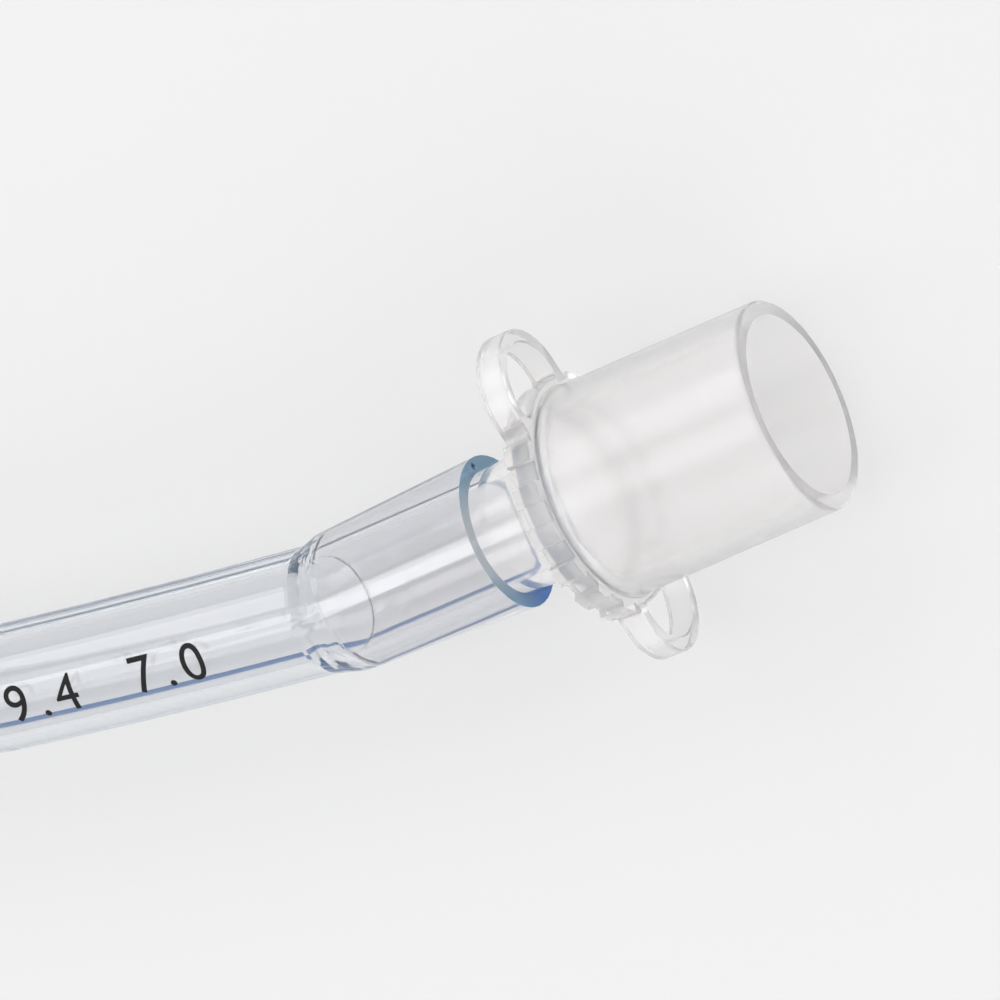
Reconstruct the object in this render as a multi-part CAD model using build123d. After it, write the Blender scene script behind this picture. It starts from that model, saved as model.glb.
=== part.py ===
from build123d import *

import os
from math import asin, cos, degrees, radians, sin, sqrt, tan

# Cuffed endotracheal tube with a 7.0 mm bore, and the moulded connector in its machine end.
# The clear soft tube is stretched over the connector's stem and curves in one sweep to a
# bevelled patient end with a side eye. Its wall holds a coloured radiopaque line and a fine
# lumen, which feeds the let-down cuff near the tip.
# X runs out of the connector's mouth along its axis, with 0 at the mouth's face. Z is up.
# The part lies on a level surface, on the flange's ribs and the cuff.

# Connector: conical socket fitting for the breathing circuit
CONE_LENGTH = 16.2
CONE_MOUTH_DIAMETER = 15.1
CONE_TAPER = 1 / 40  # diameter gained for each unit of length
CONE_ROOT_FILLET = 0.25
CONE_SEAT = 0.3  # how far the cone's foot spreads on the flange
MOUTH_BORE_DIAMETER = 13.0
MOUTH_BORE_DEPTH = 16.0
MOUTH_BORE_DRAFT = 0.5  # degrees
MOUTH_EDGE_ROUND = 0.3
FUNNEL_LENGTH = 4.0
FUNNEL_TOP_ROUND = 2.0
FUNNEL_THROAT_ROUND = 2.0

# Connector: flange with a ribbed edge
FLANGE_THICKNESS = 1.95
FLANGE_DIAMETER = 17.7  # over the ribs
RIB_HEIGHT = 0.5
RIB_PITCH = 20.0  # degrees
RIB_WIDTH = 10.0  # degrees
RIBS_PER_SIDE = 6

# Connector: two loop ears for the ties
EAR_REACH = 13.0  # from the axis to the tip
EAR_WIDTH = 8.9
EAR_RIM = 1.0
EAR_ROOT_FILLET = 1.2
EAR_HOLE_ROUND = 0.5
EAR_ROLL = 19.0  # degrees, from level
PLATE_EDGE_ROUND = 0.15

# Connector: neck and stem, inside the tube from the neck on
NECK_DIAMETER = 9.6
NECK_FILLET = 2.8
NECK_LENGTH = 6.0  # from the flange to the tube's end
STEM_TIP_DIAMETER = 8.2
STEM_INSERTION = 13.8
STEM_BORE_DIAMETER = 7.2
STEM_TIP_ROUND = 0.25

# Tube: nominal section, and the end that is stretched over the stem
TUBE_BORE = 7.0
TUBE_DIAMETER = 9.4
FLARE_WALL_SHARE = 0.9  # of the nominal wall, thinned by the stretch
FLARE_FOOT_STEPS = 3  # sections that bring the wall in from the stem to the nominal section

# Tube: bends from the stem to the straight patient end, all to the same side
STEM_BEND_RADIUS = 20.0  # the wall closes in to the nominal section along this bend
STEM_BEND_ANGLE = 7.3
NEAR_BEND_RADIUS = 800.0
NEAR_BEND_ANGLE = 2.0
MAIN_BEND_RADIUS = 140.0
DROP_BEND_ANGLE = 24.5  # of each half of the drop to the surface
PATIENT_END_LENGTH = 78.0
PATIENT_END_HEADING = 90.0  # degrees turned from the connector's axis

# Tube: tip and side eye
BEVEL_ANGLE = 38.0  # degrees, between the bevel's plane and the tube's axis
TIP_EDGE_ROUND = 0.25
EYE_LENGTH = 9.0
EYE_WIDTH = 6.0
EYE_FROM_TIP = 13.5

# Tube wall: inflation lumen, its inlet and its port in the cuff
LUMEN_DIAMETER = 0.56
LUMEN_ANGLE = 9.0  # degrees, from the bow's inner side towards the top
INLET_LENGTH = 6.0
INLET_WIDTH = 1.3
PORT_DIAMETER = 0.9
PORT_FROM_COLLAR = 8.0

# Tube wall: radiopaque line
LINE_THICKNESS = 0.35
LINE_WIDTH = 0.65
LINE_ANGLE = -152.0  # degrees, from the bow's inner side towards the top

# Cuff: thin film bonded to the tube by two collars, let down and lying flat
CUFF_FROM_TIP = 23.0
CUFF_LENGTH = 36.0
COLLAR_LENGTH = 4.5
CUFF_FILM = 0.12
CUFF_SLACK = 0.05  # between the film and the tube
CUFF_HALF_WIDTH = 8.6
CUFF_TOP_SLACK = 0.9
CUFF_SHOULDER = 5.0
CUFF_SHOULDER_SHARE = 0.8  # of the full width, at the shoulder

# Places worked out from the sizes above
MOUTH_X = 0.0
FLANGE_FRONT_X = MOUTH_X - CONE_LENGTH
FLANGE_BACK_X = FLANGE_FRONT_X - FLANGE_THICKNESS
TUBE_END_X = FLANGE_BACK_X - NECK_LENGTH
STEM_TIP_X = TUBE_END_X - STEM_INSERTION
BORE_END_X = MOUTH_X - MOUTH_BORE_DEPTH
THROAT_X = BORE_END_X - FUNNEL_LENGTH

TUBE_WALL = (TUBE_DIAMETER - TUBE_BORE) / 2
TUBE_MIDWALL = (TUBE_DIAMETER + TUBE_BORE) / 4
RIB_FOOT_RADIUS = FLANGE_DIAMETER / 2 - RIB_HEIGHT
CUFF_HALF_HEIGHT = TUBE_DIAMETER / 2 + CUFF_SLACK + CUFF_FILM
LOW_RIB_EDGE = EAR_ROLL - RIB_PITCH / 2 - RIB_WIDTH / 2  # degrees from straight down
SURFACE_Z = -FLANGE_DIAMETER / 2 * cos(radians(LOW_RIB_EDGE))
PATIENT_END_Z = SURFACE_Z + CUFF_HALF_HEIGHT
LINE_SPAN = degrees(LINE_WIDTH / TUBE_MIDWALL)
CLEAR = 1.0  # how far a cutting tool runs past what it cuts


def stem_radius(x):
    """Outer radius of the tapered neck and stem at a place along the axis."""
    share = (FLANGE_BACK_X - x) / (FLANGE_BACK_X - STEM_TIP_X)
    return (NECK_DIAMETER + (STEM_TIP_DIAMETER - NECK_DIAMETER) * share) / 2


def profile(points, rounds=()):
    """A closed outline of (along, radius) points, with the corners at the given points rounded."""
    face = make_face(Polyline(*points, close=True))
    for point, radius in rounds:
        corner = face.vertices().sort_by_distance((*point, 0))[0]
        face = fillet(corner, radius)
    return face


def turned_about_x(face):
    """The solid that an outline in the XY plane makes when it is turned about X."""
    return revolve(face, axis=Axis.X)


def polar(radius, angle):
    """The point at a radius and an angle in degrees."""
    return radius * cos(radians(angle)), radius * sin(radians(angle))


def ring_sector(inner, outer, middle, span):
    """The part of a ring that lies within a span of degrees about a middle angle."""
    reach = 2 * outer
    wedge = Polyline(
        (0, 0), polar(reach, middle - span / 2), polar(reach, middle + span / 2), close=True
    )
    return (Circle(outer) - Circle(inner)) & make_face(wedge)


# Connector

def connector_body():
    """The cone, the neck and the stem as one turned solid, without the bore."""
    mouth_radius = CONE_MOUTH_DIAMETER / 2
    root_radius = mouth_radius + CONE_LENGTH * CONE_TAPER / 2
    seat_radius = root_radius + CONE_SEAT
    mouth, root = (MOUTH_X, mouth_radius), (FLANGE_FRONT_X, root_radius)
    neck = (FLANGE_BACK_X, stem_radius(FLANGE_BACK_X))
    tip = (STEM_TIP_X, stem_radius(STEM_TIP_X))
    outline = [
        (MOUTH_X, 0), mouth, root, (FLANGE_FRONT_X, seat_radius),
        (FLANGE_BACK_X, seat_radius), neck, tip, (STEM_TIP_X, 0),
    ]
    rounds = [
        (mouth, MOUTH_EDGE_ROUND), (root, CONE_ROOT_FILLET),
        (neck, NECK_FILLET), (tip, STEM_TIP_ROUND),
    ]
    return turned_about_x(profile(outline, rounds))


def connector_bore():
    """The drafted mouth bore, the funnel and the bore through the stem, as one tool."""
    mouth_radius = MOUTH_BORE_DIAMETER / 2
    foot_radius = mouth_radius - MOUTH_BORE_DEPTH * tan(radians(MOUTH_BORE_DRAFT))
    throat_radius = STEM_BORE_DIAMETER / 2
    foot, throat = (BORE_END_X, foot_radius), (THROAT_X, throat_radius)
    outline = [
        (MOUTH_X + CLEAR, 0), (MOUTH_X + CLEAR, mouth_radius), (MOUTH_X, mouth_radius), foot,
        throat, (STEM_TIP_X - CLEAR, throat_radius), (STEM_TIP_X - CLEAR, 0),
    ]
    rounds = [(foot, FUNNEL_TOP_ROUND), (throat, FUNNEL_THROAT_ROUND)]
    return turned_about_x(profile(outline, rounds))


def ear_outline(half_width):
    """A round-ended strip from the axis to the tip of both ears."""
    rim = EAR_WIDTH / 2 - half_width
    reach = EAR_REACH - rim - half_width
    strip = Rectangle(2 * reach, 2 * half_width)
    return strip + Pos(reach, 0) * Circle(half_width) + Pos(-reach, 0) * Circle(half_width)


def flange_plate():
    """The flange and its two ears, cut from one plate, with the ribs on the flange's edge."""
    outline = Circle(RIB_FOOT_RADIUS) + ear_outline(EAR_WIDTH / 2)
    ear_side = EAR_WIDTH / 2
    root_reach = sqrt(RIB_FOOT_RADIUS**2 - ear_side**2)
    for across in (1, -1):
        for up in (1, -1):
            root = (across * root_reach, up * ear_side, 0)
            outline = fillet(outline.vertices().sort_by_distance(root)[0], EAR_ROOT_FILLET)
    holes = ear_outline(EAR_WIDTH / 2 - EAR_RIM) - Circle(RIB_FOOT_RADIUS)
    holes = fillet(holes.vertices().filter_by(lambda v: abs(v.Y) > EAR_RIM
                   and sqrt(v.X**2 + v.Y**2) < RIB_FOOT_RADIUS + EAR_HOLE_ROUND), EAR_HOLE_ROUND)
    plate = extrude(outline - holes, FLANGE_THICKNESS)
    rims = plate.edges().filter_by(Axis.Z, reverse=True)
    plate = fillet(rims, PLATE_EDGE_ROUND)
    first = 90 - RIB_PITCH * (RIBS_PER_SIDE - 1) / 2
    for side in (0, 180):
        for index in range(RIBS_PER_SIDE):
            middle = side + first + index * RIB_PITCH
            rib = ring_sector(RIB_FOOT_RADIUS - RIB_HEIGHT, FLANGE_DIAMETER / 2, middle, RIB_WIDTH)
            plate += extrude(rib, FLANGE_THICKNESS)
    return Plane.YZ.offset(FLANGE_BACK_X) * Rot(0, 0, EAR_ROLL) * plate


def make_connector():
    """The whole moulding."""
    return connector_body() + flange_plate() - connector_bore()


# Tube, in stretches from the machine end to the tip

def wall_section():
    """The tube's nominal section, with the lumen and the line's channel open in it."""
    return Circle(TUBE_DIAMETER / 2) - Circle(TUBE_BORE / 2) - lumen_section() - line_section()


def lumen_section():
    """The inflation lumen's section, in the middle of the wall."""
    return Pos(*polar(TUBE_MIDWALL, LUMEN_ANGLE)) * Circle(LUMEN_DIAMETER / 2)


def line_section():
    """The radiopaque line's section, in the middle of the wall."""
    half = LINE_THICKNESS / 2
    return ring_sector(TUBE_MIDWALL - half, TUBE_MIDWALL + half, LINE_ANGLE, LINE_SPAN)


def flare_midwall(x):
    """Radius of the middle of the stretched wall at a place on the stem."""
    return stem_radius(x) + TUBE_WALL * FLARE_WALL_SHARE / 2


def flare_line():
    """The radiopaque line in the flared end."""
    half = LINE_THICKNESS / 2
    end, tip = flare_midwall(TUBE_END_X), flare_midwall(STEM_TIP_X)
    outline = [
        (TUBE_END_X, end + half), (STEM_TIP_X, tip + half),
        (STEM_TIP_X, tip - half), (TUBE_END_X, end - half),
    ]
    strip = revolve(profile(outline), axis=Axis.X, revolution_arc=LINE_SPAN)
    return Rot(LINE_ANGLE - LINE_SPAN / 2, 0, 0) * strip


def flare_lumen():
    """The inflation lumen in the flared end, open at the end face."""
    circles = []
    for x in (TUBE_END_X + CLEAR, STEM_TIP_X):
        middle = Pos(*polar(flare_midwall(x), LUMEN_ANGLE))
        circles.append(Plane.YZ.offset(x) * middle * Circle(LUMEN_DIAMETER / 2))
    return loft(circles)


def flared_end():
    """The machine end of the tube, stretched over the stem."""
    wall = TUBE_WALL * FLARE_WALL_SHARE
    end, tip = stem_radius(TUBE_END_X), stem_radius(STEM_TIP_X)
    outline = [
        (TUBE_END_X, end), (TUBE_END_X, end + wall), (STEM_TIP_X, tip + wall), (STEM_TIP_X, tip),
    ]
    return turned_about_x(profile(outline)) - flare_lumen() - flare_line()


def flare_foot(station):
    """The first bend, in which the wall and its line close in from the stem to the nominal
    section. Returns both and the next section."""
    axis = bend_axis(station, STEM_BEND_RADIUS, 0)
    wall = TUBE_WALL * FLARE_WALL_SHARE
    tip = stem_radius(STEM_TIP_X)
    outsides, insides, lumens, lines = [], [], [], []
    for step in range(FLARE_FOOT_STEPS + 1):
        share = step / FLARE_FOOT_STEPS
        eased = share * share * (3 - 2 * share)
        section = carried_round(station, axis, STEM_BEND_ANGLE * share)
        outside = tip + wall + (TUBE_DIAMETER / 2 - tip - wall) * eased
        inside = tip + (TUBE_BORE / 2 - tip) * eased
        midwall = (outside + inside) / 2
        half = LINE_THICKNESS / 2
        outsides.append(section * Circle(outside))
        insides.append(section * Circle(inside))
        lumens.append(section * Pos(*polar(midwall, LUMEN_ANGLE)) * Circle(LUMEN_DIAMETER / 2))
        lines.append(section * ring_sector(midwall - half, midwall + half, LINE_ANGLE, LINE_SPAN))
    line = loft(lines)
    wall = loft(outsides) - loft(insides) - loft(lumens) - line
    return wall, line, carried_round(station, axis, STEM_BEND_ANGLE)


def bend_axis(station, radius, lean):
    """Axis that a stretch turns about. The lean tips the bend out of level, in degrees."""
    forward = -station.z_dir
    side = forward.cross(Vector(0, 0, 1)).normalized()
    upward = side.cross(forward)
    inward = side * cos(radians(lean)) + upward * sin(radians(lean))
    return Axis(station.origin + inward * radius, forward.cross(inward))


def carried_round(station, axis, angle):
    """The section's plane after a bend, without twist."""
    arm = (station.origin - axis.position).rotate(axis, angle)
    return Plane(
        axis.position + arm,
        x_dir=station.x_dir.rotate(axis, angle),
        z_dir=station.z_dir.rotate(axis, angle),
    )


def drop_leans():
    """Leans of the two bends that bring the tube down to the surface and level it again."""
    half_turn = radians(DROP_BEND_ANGLE)
    fall = 2 * MAIN_BEND_RADIUS * (1 - cos(half_turn))
    down = asin(-PATIENT_END_Z / fall)
    pitch = asin(sin(half_turn) * sin(down))
    level = asin(cos(half_turn) * sin(down) / cos(pitch))
    return -degrees(down), degrees(level)


def run_of_bends():
    """The bent stretches of the tube and its line, the inlet's place and the last section."""
    down, level = drop_leans()
    bends = [
        (NEAR_BEND_RADIUS, NEAR_BEND_ANGLE, 0),
        (MAIN_BEND_RADIUS, DROP_BEND_ANGLE, down), (MAIN_BEND_RADIUS, DROP_BEND_ANGLE, level),
    ]
    start = Plane((STEM_TIP_X, 0, 0), x_dir=(0, 1, 0), z_dir=(1, 0, 0))
    foot_wall, foot_line, station = flare_foot(start)
    walls, lines, stations = [foot_wall], [foot_line], []
    for radius, angle, lean in bends:
        station = add_bend(station, radius, angle, lean, walls, lines)
        stations.append(station)
    heading = (-station.z_dir).get_angle(Vector(-1, 0, 0))
    station = add_bend(
        station, MAIN_BEND_RADIUS, PATIENT_END_HEADING - heading, 0, walls, lines
    )
    return walls, lines, stations[-2], station


def add_bend(station, radius, angle, lean, walls, lines):
    """One bend of the wall and of the line, added to their lists. Returns the next section."""
    axis = bend_axis(station, radius, lean)
    walls.append(revolve(station * wall_section(), axis=axis, revolution_arc=angle))
    lines.append(revolve(station * line_section(), axis=axis, revolution_arc=angle))
    return carried_round(station, axis, angle)


def bevel_tool(tip):
    """What the bevel takes off the patient end: its opening faces up."""
    rise = TUBE_DIAMETER / 2
    back = TUBE_DIAMETER / tan(radians(BEVEL_ANGLE))
    low, high = tip.Z - rise, tip.Z + rise
    overrun = CLEAR * tan(radians(BEVEL_ANGLE))
    cut = make_face(Polyline(
        (tip.Y + CLEAR, low - overrun), (tip.Y + CLEAR, high + overrun),
        (tip.Y - back - CLEAR, high + overrun), close=True,
    ))
    return Plane.YZ.offset(tip.X) * extrude(cut, TUBE_DIAMETER, both=True)


def eye_tool(tip):
    """The side eye's cutter, through the wall that faces down."""
    eye = extrude(Ellipse(EYE_WIDTH / 2, EYE_LENGTH / 2), -TUBE_DIAMETER)
    return Pos(tip.X, tip.Y - EYE_FROM_TIP, tip.Z) * eye


def patient_end(station, port_along):
    """The straight end of the tube and of its line, bevelled, with the side eye and the port."""
    tip = station.origin - station.z_dir * PATIENT_END_LENGTH
    ring = Circle(TUBE_DIAMETER / 2) - Circle(TUBE_BORE / 2)
    wall = extrude(station * ring, -PATIENT_END_LENGTH) - bevel_tool(tip)
    bevel = wall.faces().filter_by(GeomType.PLANE).sort_by(Axis.Y)[-1]
    wall = fillet(bevel.edges(), TIP_EDGE_ROUND)
    line = extrude(station * line_section(), -PATIENT_END_LENGTH) & wall
    lumen = extrude(station * lumen_section(), -port_along)
    wall = wall - line - lumen - eye_tool(tip) - port_tool(station, port_along)
    return wall, line, tip


def inlet_tool(station):
    """The slot on the bow's inner side where the lumen is opened for an inflation line."""
    depth = TUBE_DIAMETER / 2 - TUBE_MIDWALL + LUMEN_DIAMETER / 2 + CLEAR
    middle = TUBE_DIAMETER / 2 + CLEAR - depth / 2
    outline = Plane.YZ * SlotOverall(INLET_LENGTH, INLET_WIDTH, rotation=90)
    slot = extrude(outline, depth / 2, both=True)
    return station * Rot(0, 0, LUMEN_ANGLE) * Pos(middle, 0, 0) * slot


def port_tool(station, along):
    """The small hole from the lumen out into the cuff."""
    hole = Pos(TUBE_MIDWALL, 0, -along) * Rot(0, 90, 0) * Cylinder(
        PORT_DIAMETER / 2, TUBE_WALL, align=(Align.CENTER, Align.CENTER, Align.MIN)
    )
    return station * Rot(0, 0, LUMEN_ANGLE) * hole


def make_tube_and_line():
    """The tube and its radiopaque line, the tip's place and the last bend's end."""
    bent_walls, bent_lines, inlet_station, station = run_of_bends()
    cuff_start = PATIENT_END_LENGTH - CUFF_FROM_TIP - CUFF_LENGTH
    port_along = cuff_start + COLLAR_LENGTH + PORT_FROM_COLLAR
    end_wall, end_line, tip = patient_end(station, port_along)
    tube = (flared_end() + bent_walls + end_wall) - inlet_tool(inlet_station)
    line = flare_line() + bent_lines + end_line
    return tube, line, tip


# Cuff

def cuff_skin(inset):
    """The let-down balloon: round at its ends, a flat oval between them, level underneath."""
    length = CUFF_LENGTH - 2 * COLLAR_LENGTH
    end_radius = CUFF_HALF_HEIGHT - inset
    spread = CUFF_HALF_WIDTH - CUFF_HALF_HEIGHT
    sections = []
    for along, share in (
        (0, 0), (CUFF_SHOULDER, CUFF_SHOULDER_SHARE), (length / 2, 1),
        (length - CUFF_SHOULDER, CUFF_SHOULDER_SHARE), (length, 0),
    ):
        lift = CUFF_TOP_SLACK * share / 2
        oval = Ellipse(end_radius + spread * share, end_radius + lift)
        sections.append(Pos(0, lift, -along) * oval)
    return loft(sections)


def make_cuff(tip):
    """The cuff's film, its two collars and the hole where the tube passes through."""
    near_end = Plane(
        tip - Vector(0, CUFF_FROM_TIP + CUFF_LENGTH, 0), x_dir=(1, 0, 0), z_dir=(0, -1, 0)
    )
    collar = Cylinder(TUBE_DIAMETER / 2 + CUFF_FILM, COLLAR_LENGTH + CUFF_FILM,
                      align=(Align.CENTER, Align.CENTER, Align.MAX))
    far_collar = Pos(0, 0, COLLAR_LENGTH + CUFF_FILM - CUFF_LENGTH) * collar
    balloon = Pos(0, 0, -COLLAR_LENGTH) * (cuff_skin(0) - cuff_skin(CUFF_FILM))
    tube_way = Cylinder(TUBE_DIAMETER / 2, 2 * CUFF_LENGTH + CLEAR)
    return near_end * (balloon + collar + far_collar - tube_way)


tube, line, tip = make_tube_and_line()
nodes = {
    "connector": make_connector(),
    "tube": tube,
    "radiopaque_line": line,
    "cuff": make_cuff(tip),
}

os.makedirs("parts", exist_ok=True)
for name, shape in nodes.items():
    shape.label = name
    export_step(shape, f"parts/{name}.step")
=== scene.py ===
from math import asin, ceil, cos, exp, pi, radians, sin

import bmesh
import bpy
from mathutils import Matrix, Vector


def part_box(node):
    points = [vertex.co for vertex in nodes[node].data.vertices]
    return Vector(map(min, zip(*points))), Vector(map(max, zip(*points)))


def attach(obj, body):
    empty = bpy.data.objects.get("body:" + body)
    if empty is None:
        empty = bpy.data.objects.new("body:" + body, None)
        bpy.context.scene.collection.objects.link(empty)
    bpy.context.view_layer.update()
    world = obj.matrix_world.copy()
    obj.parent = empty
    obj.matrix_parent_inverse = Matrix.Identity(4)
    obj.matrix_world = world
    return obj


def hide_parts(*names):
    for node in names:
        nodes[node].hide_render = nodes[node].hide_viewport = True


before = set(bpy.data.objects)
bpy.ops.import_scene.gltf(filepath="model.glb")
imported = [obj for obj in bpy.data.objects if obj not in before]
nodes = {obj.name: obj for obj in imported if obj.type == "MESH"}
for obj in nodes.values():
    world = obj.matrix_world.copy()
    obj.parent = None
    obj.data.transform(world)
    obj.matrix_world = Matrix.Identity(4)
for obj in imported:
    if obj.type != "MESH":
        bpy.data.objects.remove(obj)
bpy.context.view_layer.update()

# The scene is in metres. Sizes below are in millimetres, as on a drawing.
MM = 0.001
UP = Vector((0, 0, 1))

# Tube and connector, as the solids have them
TUBE_RADIUS = 4.7
TUBE_END_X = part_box("tube")[1].x / MM
STEM_TIP_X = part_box("connector")[0].x / MM
SURFACE_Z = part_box("connector")[0].z / MM
LINE_END = Vector((TUBE_END_X, -4.43, -2.36))  # middle of the blue line in the cut end face
CUT_FACE_DEPTH = 0.02  # how far the cut end face's tone reaches along the tube
STEM_FADE = 6.0  # from the wetted stem's clearness to the cone's milkiness
SEAT = 0.012  # by which pieces that touch reach into each other

# Cuff, as the solid has it
CUFF_LOW, CUFF_HIGH = (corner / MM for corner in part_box("cuff"))
CUFF_FILM = 0.12
CUFF_SLACK = 0.05  # between the film and the tube
CUFF_COLLAR = 4.5
PATIENT_END_Z = CUFF_LOW.z + TUBE_RADIUS + CUFF_FILM + CUFF_SLACK

# Cuff film, let down
CUFF_ROUND = 168  # points round the film
CUFF_ALONG = 120  # points along it
CUFF_GAP = 0.015  # between the bonded film and the tube
CUFF_FILM_SHARE = 0.7  # of the solid's wall, so that folds stay inside it
CUFF_EDGE = 0.5  # kept free at each side of the solid's width, for the folds
CUFF_SHOULDER = 6.5  # length over which the film leaves the tube
CUFF_RISE = 0.55  # of the loose film over the tube
CUFF_SAG = 0.02  # of the loose film under it, where it lies on the surface
WANDERS = ((0.35, 0.31, 0.0), (0.2, 0.83, 1.0))  # share, radians for each mm along, start
FOLDS = (
    # share, folds round, share of the wander, radians for each mm along, start
    (0.55, 5, 3.0, 0.0, 0.0),
    (0.3, 9, -4.0, 0.0, 0.7),
    (0.2, 14, 0.0, 0.42, 0.0),
)
FOLD_DEPTH = 0.42
UNDERSIDE = -0.2  # the height, as a share of the radius, below which folds are pressed
UNDERSIDE_SHARE = 0.25  # of the folds' depth that is left there
GATHERS = 26  # small pleats round each collar
GATHER_START = 0.4  # radians
GATHER_DEPTH = 0.16
GATHER_PLACE = 1.2  # from the collar's edge
GATHER_REACH = 4.0  # square millimetres, of the pleats' fading

# The tube's middle line from the stem's tip: bends, then the straight patient end
STEM_BEND = (20.0, 7.3)  # radius and degrees
NEAR_BEND = (800.0, 2.0)
MAIN_BEND_RADIUS = 140.0
DROP_BEND_ANGLE = 24.5  # degrees, of each half of the drop to the surface
PATIENT_END_HEADING = 90.0  # degrees
PATIENT_END_LENGTH = 78.0

# Printed numbers, pad-printed on the side that the camera sees
DIGIT_HEIGHT = 3.05
DIGIT_SHARE = 0.73  # of the built-in font's size
STROKE_GAIN = 0.005
DIGIT_SPACING = 1.33
INK_LIFT = 0.012
INK_FILM = 0.012
INK_STEP = 0.3  # longest straight piece of ink across the tube's curve
INK_WELD = 0.001  # points of an outline that lie closer are one
PRINT_ANGLE = 104.0  # degrees, from the bow's inner side towards the top
SIZE_NUMBERS = (("7.0", 13.4), ("9.4", 24.4))  # text and its middle's place behind the stem's tip
DEPTHS = range(10, 27, 2)  # centimetres from the tip
DEPTH_TICK = (2.2, 0.45)  # length round the tube and width
DEPTH_TICK_GAP = 2.6  # from the number's middle

# Camera, from the ellipses of the mouth, the flange and the tube's end
CAMERA_PLACE = (120.27, 0.0, 273.56)
CAMERA_AIM = (-18.546, 2.094, 9.777)
CAMERA_ROLL = -112.711  # degrees
FOCAL_SHARE = 4.4476  # focal length as a share of the picture's side
SENSOR = 36.0
CLIP = (10, 10000)  # nearest and farthest that the camera sees

# Studio
FLOOR_HALF = 4000
FLOOR_GAP = 0.02  # under the object
FLOOR_GLOW = 0.7  # share of the paper's own tone, beside what the lamps give it
HORIZON_LEVEL, OVERHEAD_LEVEL = 1.0, 0.55  # where 1 is white
LAMPS = (
    # name, place, aim, size, brightness, where 1 is white
    ("over", (-200, 10, 430), (-30, 0, 0), (200, 560), 2.0),
    ("key", (-60, 420, 380), (-20, 0, 0), (600, 340), 2.3),
    ("fill", (60, -420, 300), (-20, 0, 0), (600, 300), 2.0),
    ("spark", (160, -130, 330), (-20, 0, 0), (30, 30), 25.0),
)
CLEAR_BOUNCES = 24  # light goes through the faces of up to a dozen clear walls
MATT_BOUNCES = 8


def linear(hex_colour):
    """An sRGB hex colour as a linear colour with full alpha."""
    parts = [int(hex_colour[i:i + 2], 16) / 255 for i in (1, 3, 5)]
    return tuple(c / 12.92 if c <= 0.04045 else ((c + 0.055) / 1.055) ** 2.4 for c in parts) + (1.0,)


def add_node(tree, kind, settings=(), inputs=(), links=()):
    """A node with its settings, its sockets' values and what is linked into it."""
    node = tree.nodes.new(kind)
    for name, value in dict(settings).items():
        setattr(node, name, value)
    for name, value in dict(inputs).items():
        node.inputs[name].default_value = value
    for name, source in dict(links).items():
        tree.links.new(source, node.inputs[name])
    return node


def new_material(name):
    """An empty material with its output node."""
    material = bpy.data.materials.new(name)
    material.use_nodes = True
    material.node_tree.nodes.clear()
    output = add_node(material.node_tree, "ShaderNodeOutputMaterial")
    return material, material.node_tree, output


def dress(obj, material):
    """Puts one material on an object."""
    obj.data.materials.clear()
    obj.data.materials.append(material)


# Materials

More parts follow.
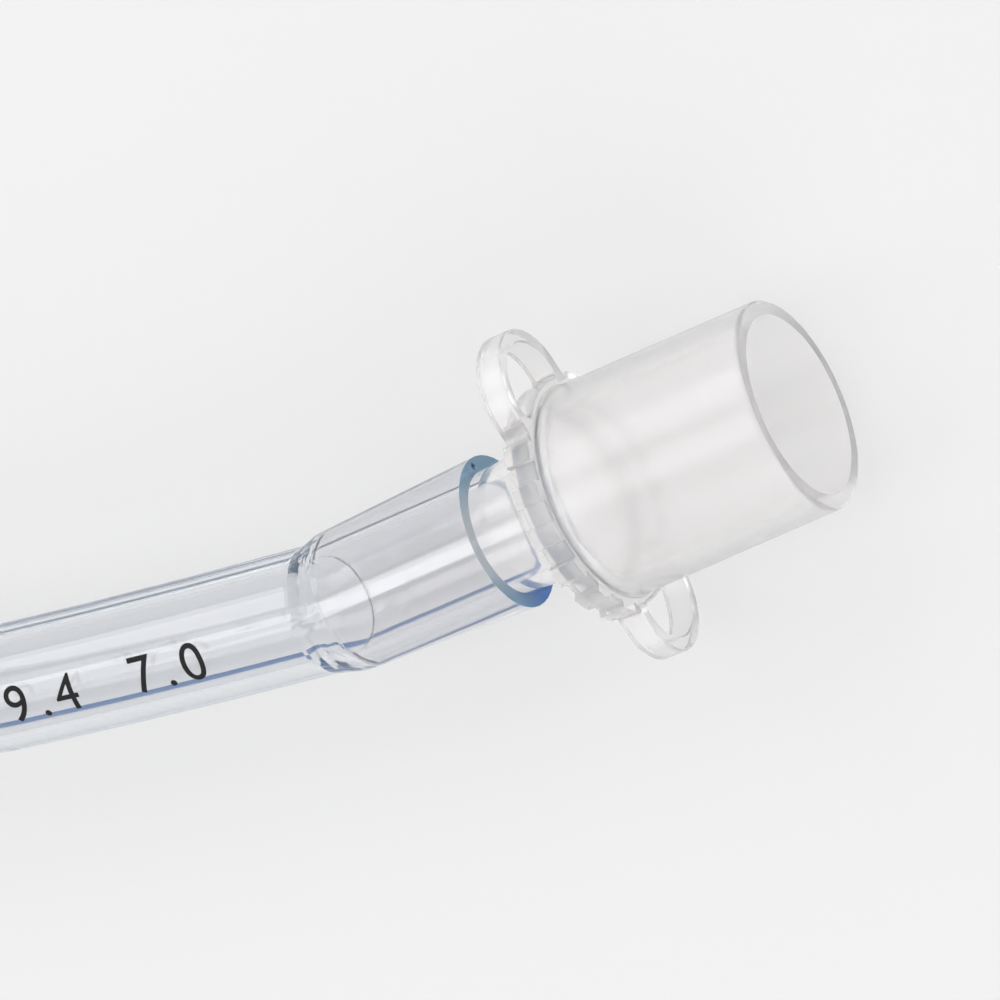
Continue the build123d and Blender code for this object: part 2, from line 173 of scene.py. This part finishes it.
def clear_pvc():
    """Soft PVC, extruded: clear, bluer the deeper the light goes, smooth with faint drag lines.
    The cut end face is less clear, because its knife marks scatter the light. Its colour is painted
    light, bluer towards its sides and near the blue line."""
    material, tree, output = new_material("pvc_clear_extruded")
    place = add_node(tree, "ShaderNodeTexCoord")
    # Drag lines of the die, about 6 mm from one to the next
    waviness = add_node(tree, "ShaderNodeTexNoise", inputs={"Scale": 1 / (6 * MM), "Detail": 2.0},
                        links={"Vector": place.outputs["Object"]})
    bump = add_node(tree, "ShaderNodeBump", inputs={"Strength": 0.1, "Distance": 0.05 * MM},
                    links={"Height": waviness.outputs["Fac"]})
    parts = add_node(tree, "ShaderNodeSeparateXYZ", links={"Vector": place.outputs["Object"]})
    cut = add_node(tree, "ShaderNodeMath", {"operation": "GREATER_THAN"},
                   {1: (TUBE_END_X - CUT_FACE_DEPTH) * MM}, {0: parts.outputs["X"]})
    # Painted light: the cut face is painted bluer towards its sides, where the wall's length of sight
    # grows
    sideways = add_node(tree, "ShaderNodeMath", {"operation": "ABSOLUTE"}, links={
        0: parts.outputs["Y"]})
    painted_side_blue = add_node(tree, "ShaderNodeMapRange", inputs={
        "From Min": 1.5 * MM, "From Max": 5.0 * MM}, links={"Value": sideways.outputs["Value"]})
    painted_cut_face_light = add_node(tree, "ShaderNodeMix", {"data_type": "RGBA"}, {
        "A": linear("#e2eaf0"), "B": linear("#8cc0e2")}, {"Factor": painted_side_blue.outputs["Result"]})
    # Painted light: the cut face is painted blue near the line's end, for light that the line sends along
    # the wall
    from_line = add_node(tree, "ShaderNodeVectorMath", {"operation": "DISTANCE"}, {
        1: LINE_END * MM}, {0: place.outputs["Object"]})
    painted_line_glow = add_node(tree, "ShaderNodeMapRange", inputs={
        "From Min": 1.6 * MM, "From Max": 5.0 * MM, "To Min": 1.0, "To Max": 0.0,
    }, links={"Value": from_line.outputs["Value"]})
    painted_cut_face_light = add_node(tree, "ShaderNodeMix", {"data_type": "RGBA"}, {"B": linear("#2f7fe0")}, {
        "Factor": painted_line_glow.outputs["Result"], "A": painted_cut_face_light.outputs["Result"]})
    # The wall's own pale tone, with the painted light on the cut end face
    tone = add_node(tree, "ShaderNodeMix", {"data_type": "RGBA"}, {"A": linear("#f3f3f5")}, {
        "Factor": cut.outputs["Value"], "B": painted_cut_face_light.outputs["Result"]})
    clearness = add_node(tree, "ShaderNodeMapRange", inputs={"To Min": 0.99, "To Max": 0.4},
                         links={"Value": cut.outputs["Value"]})
    wall = add_node(tree, "ShaderNodeBsdfPrincipled", inputs={"Roughness": 0.02, "IOR": 1.53}, links={
        "Normal": bump.outputs["Normal"], "Base Color": tone.outputs["Result"],
        "Transmission Weight": clearness.outputs["Result"]})
    depth = add_node(tree, "ShaderNodeVolumeAbsorption", inputs={
        "Color": (0.0, 0.5, 0.72, 1.0), "Density": 18.0})
    tree.links.new(wall.outputs["BSDF"], output.inputs["Surface"])
    tree.links.new(depth.outputs["Volume"], output.inputs["Volume"])
    return material


def natural_pp():
    """Natural polypropylene, injection moulded: milky and satin outside, clear where the tube wets
    it. The solid's IOR is 1.49. Its milky skin softens the edges, so a lower one matches the eye."""
    material, tree, output = new_material("polypropylene_natural_moulded")
    place = add_node(tree, "ShaderNodeTexCoord")
    along = add_node(tree, "ShaderNodeSeparateXYZ", links={"Vector": place.outputs["Object"]})
    fade = {"From Min": TUBE_END_X * MM, "From Max": (TUBE_END_X + STEM_FADE) * MM}
    satin = add_node(tree, "ShaderNodeMapRange", inputs=fade | {"To Min": 0.04, "To Max": 0.21},
                     links={"Value": along.outputs["X"]})
    clearness = add_node(tree, "ShaderNodeMapRange", inputs=fade | {"To Min": 0.99, "To Max": 0.84},
                         links={"Value": along.outputs["X"]})
    # Flow marks of the moulding, about 3 mm across
    flow = add_node(tree, "ShaderNodeTexNoise", inputs={"Scale": 1 / (3 * MM), "Detail": 3.0},
                    links={"Vector": place.outputs["Object"]})
    bump = add_node(tree, "ShaderNodeBump", inputs={"Strength": 0.08, "Distance": 0.05 * MM},
                    links={"Height": flow.outputs["Fac"]})
    wall = add_node(tree, "ShaderNodeBsdfPrincipled", inputs={
        "Base Color": linear("#fffefe"), "IOR": 1.40,
    }, links={"Normal": bump.outputs["Normal"], "Roughness": satin.outputs["Result"],
              "Transmission Weight": clearness.outputs["Result"]})
    tree.links.new(wall.outputs["BSDF"], output.inputs["Surface"])
    return material


def blue_pvc():
    """Blue filled PVC, co-extruded inside the clear wall: strong colour that some light passes."""
    material, tree, output = new_material("pvc_blue_filled")
    place = add_node(tree, "ShaderNodeTexCoord")
    # The filler is a fine powder, drawn as clouds of 1.5 mm so that they show
    filler = add_node(tree, "ShaderNodeTexNoise", inputs={"Scale": 1 / (1.5 * MM), "Detail": 2.0},
                      links={"Vector": place.outputs["Object"]})
    tone = add_node(tree, "ShaderNodeMix", {"data_type": "RGBA"}, {
        "A": linear("#74b0f4"), "B": linear("#8ec2f8")}, {"Factor": filler.outputs["Fac"]})
    body = add_node(tree, "ShaderNodeBsdfPrincipled", inputs={
        "Roughness": 0.3, "IOR": 1.5, "Transmission Weight": 0.75,
    }, links={"Base Color": tone.outputs["Result"]})
    depth = add_node(tree, "ShaderNodeVolumeAbsorption", inputs={
        "Color": (0.0, 0.6, 0.97, 1.0), "Density": 1500.0})
    tree.links.new(body.outputs["BSDF"], output.inputs["Surface"])
    tree.links.new(depth.outputs["Volume"], output.inputs["Volume"])
    return material


def pvc_film():
    """Thin clear PVC film: nearly unseen where flat, bright along its folds."""
    material, tree, output = new_material("pvc_film_blown")
    place = add_node(tree, "ShaderNodeTexCoord")
    # Wrinkles between the folds, about 2.5 mm across
    wrinkle = add_node(tree, "ShaderNodeTexNoise", inputs={"Scale": 1 / (2.5 * MM), "Detail": 3.0},
                       links={"Vector": place.outputs["Object"]})
    bump = add_node(tree, "ShaderNodeBump", inputs={"Strength": 0.4, "Distance": 0.12 * MM},
                    links={"Height": wrinkle.outputs["Fac"]})
    film = add_node(tree, "ShaderNodeBsdfPrincipled", inputs={
        "Base Color": linear("#fafbfd"), "Roughness": 0.08, "IOR": 1.45,
        "Transmission Weight": 0.95,
    }, links={"Normal": bump.outputs["Normal"]})
    tree.links.new(film.outputs["BSDF"], output.inputs["Surface"])
    return material


def black_ink():
    """Pad-printed solvent ink: near black, satin, a little thin and uneven over its area."""
    material, tree, output = new_material("ink_black_pad_printed")
    place = add_node(tree, "ShaderNodeTexCoord")
    # Patches where the pad left less ink, about 0.4 mm across
    mottle = add_node(tree, "ShaderNodeTexNoise", inputs={"Scale": 1 / (0.4 * MM), "Detail": 3.0},
                      links={"Vector": place.outputs["Object"]})
    tone = add_node(tree, "ShaderNodeMix", {"data_type": "RGBA"}, {
        "A": linear("#0d0b0c"), "B": linear("#1f1d1f")}, {"Factor": mottle.outputs["Fac"]})
    film = add_node(tree, "ShaderNodeBsdfPrincipled", inputs={
        "Roughness": 0.6, "IOR": 1.5, "Specular IOR Level": 0.25,
    }, links={"Base Color": tone.outputs["Result"]})
    tree.links.new(film.outputs["BSDF"], output.inputs["Surface"])
    return material


dress(nodes["tube"], clear_pvc())
dress(nodes["connector"], natural_pp())
dress(nodes["radiopaque_line"], blue_pvc())

# The line fills its channel a little more than fully, and the stem is pressed into the tube's
# bore, so no two faces share one place and light passes as through one body.
for name in ("radiopaque_line", "connector"):
    fit = nodes[name].modifiers.new("seat", "DISPLACE")
    fit.mid_level = 0.0
    fit.strength = SEAT * MM


# The tube's middle line

def bends():
    """Radius, angle and lean of each bend behind the stem, in millimetres and radians."""
    half_turn = radians(DROP_BEND_ANGLE)
    fall = 2 * MAIN_BEND_RADIUS * (1 - cos(half_turn))
    down = asin(-PATIENT_END_Z / fall)
    pitch = asin(sin(half_turn) * sin(down))
    level = asin(cos(half_turn) * sin(down) / cos(pitch))
    run = [
        (STEM_BEND[0], radians(STEM_BEND[1]), 0.0), (NEAR_BEND[0], radians(NEAR_BEND[1]), 0.0),
        (MAIN_BEND_RADIUS, half_turn, -down), (MAIN_BEND_RADIUS, half_turn, level),
    ]
    forward = carried_on(run)[2]
    rest = radians(PATIENT_END_HEADING) - forward.angle(Vector((-1, 0, 0)))
    return run + [(MAIN_BEND_RADIUS, rest, 0.0)]


def carried_on(run):
    """Middle, side and forward direction of the section at the end of a run of bends."""
    place, across, forward = Vector((STEM_TIP_X, 0, 0)), Vector((0, 1, 0)), Vector((-1, 0, 0))
    for radius, angle, lean in run:
        side = forward.cross(UP).normalized()
        inward = side * cos(lean) + side.cross(forward) * sin(lean)
        centre = place + inward * radius
        turn = Matrix.Rotation(angle, 3, forward.cross(inward))
        place = centre + turn @ (place - centre)
        across = turn @ across
        forward = turn @ forward
    return place, across, forward


TUBE_RUN = bends()
BENT_LENGTH = sum(radius * angle for radius, angle, _ in TUBE_RUN)
TIP_ALONG = BENT_LENGTH + PATIENT_END_LENGTH


def station(along):
    """Middle, side and forward direction of the section at a place behind the stem's tip."""
    run = []
    left = along
    for radius, angle, lean in TUBE_RUN:
        part = min(max(left / radius, 0.0), angle)
        run.append((radius, part, lean))
        left -= radius * part
    place, across, forward = carried_on(run)
    return place + forward * left, across, forward


def on_tube(along, angle, lift):
    """The point over the tube's outside at an angle in radians, as the solids count it."""
    place, across, forward = station(along)
    out = across * cos(angle) + across.cross(forward) * sin(angle)
    return place + out * (TUBE_RADIUS + lift)


def new_piece(name, mesh, material):
    """A piece of the part that rides with it and wears one material."""
    piece = bpy.data.objects.new(name, mesh)
    bpy.context.scene.collection.objects.link(piece)
    dress(piece, material)
    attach(piece, "root")
    return piece


# Printed numbers

def number_mesh(text):
    """A plain number as a flat mesh in millimetres, with its middle at the origin."""
    curve = bpy.data.curves.new("number", "FONT")
    curve.body = text
    curve.size = DIGIT_HEIGHT / DIGIT_SHARE
    curve.offset = STROKE_GAIN
    curve.space_character = DIGIT_SPACING
    curve.align_x, curve.align_y = "CENTER", "CENTER"
    writer = bpy.data.objects.new("number", curve)
    mesh = bpy.data.meshes.new_from_object(writer)
    bpy.data.objects.remove(writer)
    bpy.data.curves.remove(curve)
    return mesh


def tick_mesh():
    """A short line round the tube, as a flat mesh in millimetres."""
    tall, wide = DEPTH_TICK
    mesh = bpy.data.meshes.new("tick")
    corners = [(-wide / 2, -tall / 2), (wide / 2, -tall / 2), (wide / 2, tall / 2), (-wide / 2, tall / 2)]
    mesh.from_pydata([(x, y, 0) for x, y in corners], [], [(0, 1, 2, 3)])
    return mesh


def cut_in_steps(shape, axis, step):
    """Cuts a flat mesh across an axis so that it can follow a curve."""
    reach = max(abs(v.co[axis]) for v in shape.verts)
    count = ceil(reach / step)
    normal = Vector((0, 0, 0))
    normal[axis] = 1.0
    for index in range(-count, count + 1):
        everything = shape.verts[:] + shape.edges[:] + shape.faces[:]
        bmesh.ops.bisect_plane(shape, geom=everything, plane_co=normal * index * step, plane_no=normal)


def laid_on_tube(name, flat, along, ink):
    """Ink on the tube: a flat mesh laid round the outside, its top to the bow's inner side."""
    shape = bmesh.new()
    shape.from_mesh(flat)
    bmesh.ops.remove_doubles(shape, verts=shape.verts, dist=INK_WELD)
    bmesh.ops.triangulate(shape, faces=shape.faces)
    cut_in_steps(shape, 0, INK_STEP)
    cut_in_steps(shape, 1, INK_STEP)
    for vert in shape.verts:
        angle = radians(PRINT_ANGLE) - vert.co.y / TUBE_RADIUS
        vert.co = on_tube(along - vert.co.x, angle, INK_LIFT) * MM
    mesh = bpy.data.meshes.new(name)
    shape.to_mesh(mesh)
    shape.free()
    piece = new_piece(name, mesh, ink)
    film = piece.modifiers.new("film", "SOLIDIFY")
    film.thickness = INK_FILM * MM
    film.offset = 1.0


def make_print():
    """The bore and outside sizes near the machine end, and the depths from the tip."""
    ink = black_ink()
    for text, along in SIZE_NUMBERS:
        laid_on_tube("size_" + text.replace(".", "_"), number_mesh(text), along, ink)
    for depth in DEPTHS:
        along = TIP_ALONG - 10 * depth
        laid_on_tube(f"depth_{depth}", number_mesh(str(depth)), along + DEPTH_TICK_GAP, ink)
        laid_on_tube(f"depth_line_{depth}", tick_mesh(), along, ink)


# Cuff

def fold_height(along, turn, inside, eased):
    """How far the film's folds and pleats stand out from its plain shape, in millimetres."""
    wander = sum(share * sin(along * pace + start) for share, pace, start in WANDERS)
    fold = sum(share * sin(count * turn + wander * bend + along * pace + start)
               for share, count, bend, pace, start in FOLDS)
    pressed = 1.0 if sin(turn) > UNDERSIDE else UNDERSIDE_SHARE
    beyond = max(inside, 0.0)
    nearness = exp(-(beyond - GATHER_PLACE) ** 2 / GATHER_REACH)
    gather = GATHER_DEPTH * sin(GATHERS * turn + GATHER_START) * nearness
    return fold * FOLD_DEPTH * eased * pressed + gather * min(beyond / GATHER_PLACE, 1.0)


def cuff_point(along, turn):
    """A point of the let-down film: tight collars, then soft wings with folds along them."""
    length = CUFF_HIGH.y - CUFF_LOW.y
    middle_x = (CUFF_LOW.x + CUFF_HIGH.x) / 2
    half_width = (CUFF_HIGH.x - CUFF_LOW.x) / 2 - CUFF_EDGE
    bonded = TUBE_RADIUS + CUFF_GAP
    inside = min(along - CUFF_COLLAR, length - CUFF_COLLAR - along)
    share = min(max(inside / CUFF_SHOULDER, 0.0), 1.0)
    eased = share * share * (3 - 2 * share)
    across, up = cos(turn), sin(turn)
    wide = bonded + (half_width - bonded) * eased
    tall = bonded + (CUFF_RISE if up > 0 else CUFF_SAG) * eased
    grow = 1 + fold_height(along, turn, inside, eased) / TUBE_RADIUS
    spread_x, spread_z = wide * across * grow, tall * up * grow
    reach = (spread_x ** 2 + spread_z ** 2) ** 0.5
    if reach < bonded:
        spread_x *= bonded / reach
        spread_z *= bonded / reach
    low = CUFF_LOW.z + CUFF_FILM / 2
    return Vector((middle_x + spread_x, CUFF_LOW.y + along, max(PATIENT_END_Z + spread_z, low)))


def make_cuff():
    """The thin balloon near the tip, bonded by two collars and let down."""
    length = CUFF_HIGH.y - CUFF_LOW.y
    turns = [2 * pi * index / CUFF_ROUND for index in range(CUFF_ROUND)]
    shape = bmesh.new()
    rings = []
    for row in range(CUFF_ALONG + 1):
        along = length * row / CUFF_ALONG
        rings.append([shape.verts.new(cuff_point(along, turn) * MM) for turn in turns])
    for here, there in zip(rings, rings[1:]):
        for index in range(CUFF_ROUND):
            after = (index + 1) % CUFF_ROUND
            shape.faces.new((here[index], here[after], there[after], there[index]))
    bmesh.ops.recalc_face_normals(shape, faces=shape.faces)
    for face in shape.faces:
        face.smooth = True
    mesh = bpy.data.meshes.new("cuff_film")
    shape.to_mesh(mesh)
    shape.free()
    piece = new_piece("cuff_film", mesh, pvc_film())
    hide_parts("cuff")
    film = piece.modifiers.new("film", "SOLIDIFY")
    film.thickness = CUFF_FILM * CUFF_FILM_SHARE * MM
    film.offset = 1.0


make_print()
make_cuff()


# Stage

def pale_floor():
    """A matt white sheet that shows its own colour, and still takes the object's shadow."""
    material, tree, output = new_material("studio_paper_white")
    path = add_node(tree, "ShaderNodeLightPath")
    through = add_node(tree, "ShaderNodeMath", {"operation": "MAXIMUM"}, links={
        0: path.outputs["Is Glossy Ray"], 1: path.outputs["Is Transmission Ray"]})
    seen = add_node(tree, "ShaderNodeMath", {"operation": "MAXIMUM"}, links={
        0: path.outputs["Is Camera Ray"], 1: through.outputs["Value"]})
    share = add_node(tree, "ShaderNodeMath", {"operation": "MULTIPLY"}, {1: FLOOR_GLOW},
                     {0: seen.outputs["Value"]})
    matt = add_node(tree, "ShaderNodeBsdfDiffuse", inputs={"Color": linear("#ebebeb")})
    glow = add_node(tree, "ShaderNodeEmission", inputs={
        "Color": linear("#ebebeb"), "Strength": 1.0})
    mixed = add_node(tree, "ShaderNodeMixShader", links={
        0: share.outputs["Value"], 1: matt.outputs["BSDF"], 2: glow.outputs["Emission"]})
    tree.links.new(mixed.outputs["Shader"], output.inputs["Surface"])
    return material


def make_floor():
    """A level sheet under the object."""
    mesh = bpy.data.meshes.new("studio_floor")
    floor = bpy.data.objects.new("studio_floor", mesh)
    bpy.context.scene.collection.objects.link(floor)
    shape = bmesh.new()
    half = FLOOR_HALF * MM
    height = (SURFACE_Z - FLOOR_GAP) * MM
    corners = [(-half, -half), (half, -half), (half, half), (-half, half)]
    shape.faces.new([shape.verts.new((x, y, height)) for x, y in corners])
    shape.to_mesh(mesh)
    shape.free()
    dress(floor, pale_floor())


def make_world():
    """A studio that is pale towards the horizon and dimmer overhead, where the lamps hang."""
    world = bpy.data.worlds.new("studio_light")
    bpy.context.scene.world = world
    world.use_nodes = True
    tree = world.node_tree
    tree.nodes.clear()
    output = add_node(tree, "ShaderNodeOutputWorld")
    place = add_node(tree, "ShaderNodeTexCoord")
    height = add_node(tree, "ShaderNodeSeparateXYZ", links={"Vector": place.outputs["Generated"]})
    level = add_node(tree, "ShaderNodeMapRange", {"interpolation_type": "SMOOTHSTEP"}, {
        "From Min": 0.2, "From Max": 0.65, "To Min": HORIZON_LEVEL, "To Max": OVERHEAD_LEVEL,
    }, {"Value": height.outputs["Z"]})
    sky = add_node(tree, "ShaderNodeBackground", inputs={"Color": linear("#eeeeee")},
                   links={"Strength": level.outputs["Result"]})
    tree.links.new(sky.outputs["Background"], output.inputs["Surface"])


def add_lamp(name, place, aim, size, level):
    """A soft rectangular lamp, placed and aimed in millimetres. Its level is its brightness,
    where 1 is white."""
    light = bpy.data.lights.new(name, "AREA")
    light.shape = "RECTANGLE"
    light.size, light.size_y = size[0] * MM, size[1] * MM
    light.energy = level * pi * light.size * light.size_y
    lamp = bpy.data.objects.new(name, light)
    bpy.context.scene.collection.objects.link(lamp)
    lamp.location = Vector(place) * MM
    lamp.rotation_mode = "QUATERNION"
    lamp.rotation_quaternion = (Vector(aim) - Vector(place)).to_track_quat("-Z", "Y")


def make_camera():
    """The photograph's viewing angle and framing."""
    view = bpy.data.cameras.new("view")
    camera = bpy.data.objects.new("view", view)
    bpy.context.scene.collection.objects.link(camera)
    bpy.context.scene.camera = camera
    view.sensor_width = SENSOR
    view.lens = SENSOR * FOCAL_SHARE
    view.clip_start, view.clip_end = (distance * MM for distance in CLIP)
    place, aim = Vector(CAMERA_PLACE), Vector(CAMERA_AIM)
    back = (place - aim).normalized()
    level = (UP - back * back.z).normalized()
    side = level.cross(back)
    roll = radians(CAMERA_ROLL)
    right = side * cos(roll) + level * sin(roll)
    up = level * cos(roll) - side * sin(roll)
    camera.matrix_world = Matrix((
        (right.x, up.x, back.x, place.x * MM),
        (right.y, up.y, back.y, place.y * MM),
        (right.z, up.z, back.z, place.z * MM),
        (0, 0, 0, 1),
    ))


make_floor()
make_world()
for lamp in LAMPS:
    add_lamp(*lamp)
make_camera()

bpy.context.scene.view_settings.view_transform = "Standard"
light_paths = bpy.context.scene.cycles
light_paths.max_bounces = CLEAR_BOUNCES
light_paths.transmission_bounces = CLEAR_BOUNCES
light_paths.glossy_bounces = CLEAR_BOUNCES
light_paths.diffuse_bounces = MATT_BOUNCES
